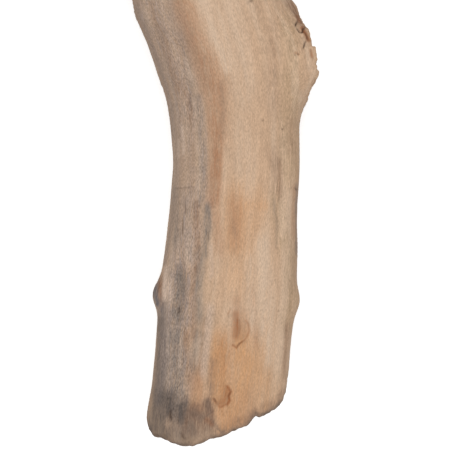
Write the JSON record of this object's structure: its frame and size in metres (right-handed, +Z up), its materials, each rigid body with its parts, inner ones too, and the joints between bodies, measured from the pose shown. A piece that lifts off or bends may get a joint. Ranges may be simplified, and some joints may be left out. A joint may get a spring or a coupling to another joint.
{
  "type": "manzanita branch",
  "caption": "Sandblasted manzanita branch with a thick cut butt and forking limbs, which lies on its side as decor, a perch or an aquarium root.",
  "frame": {"origin": "on the floor that the branch lies on, under the middle of its outline seen from above", "axes": "+Z up, away from the floor; -Y towards the thick butt end and +Y towards the limbs' tips; +X to the right of the stem, seen from above with the butt nearest"},
  "size_m": [0.2703, 0.3384, 0.0931],
  "materials": {
    "wood": "dry, sandblasted and matt, with grey weathering and tan grain"
  },
  "bodies": {
    "root": {"branch": "wood"}
  },
  "joints": []
}
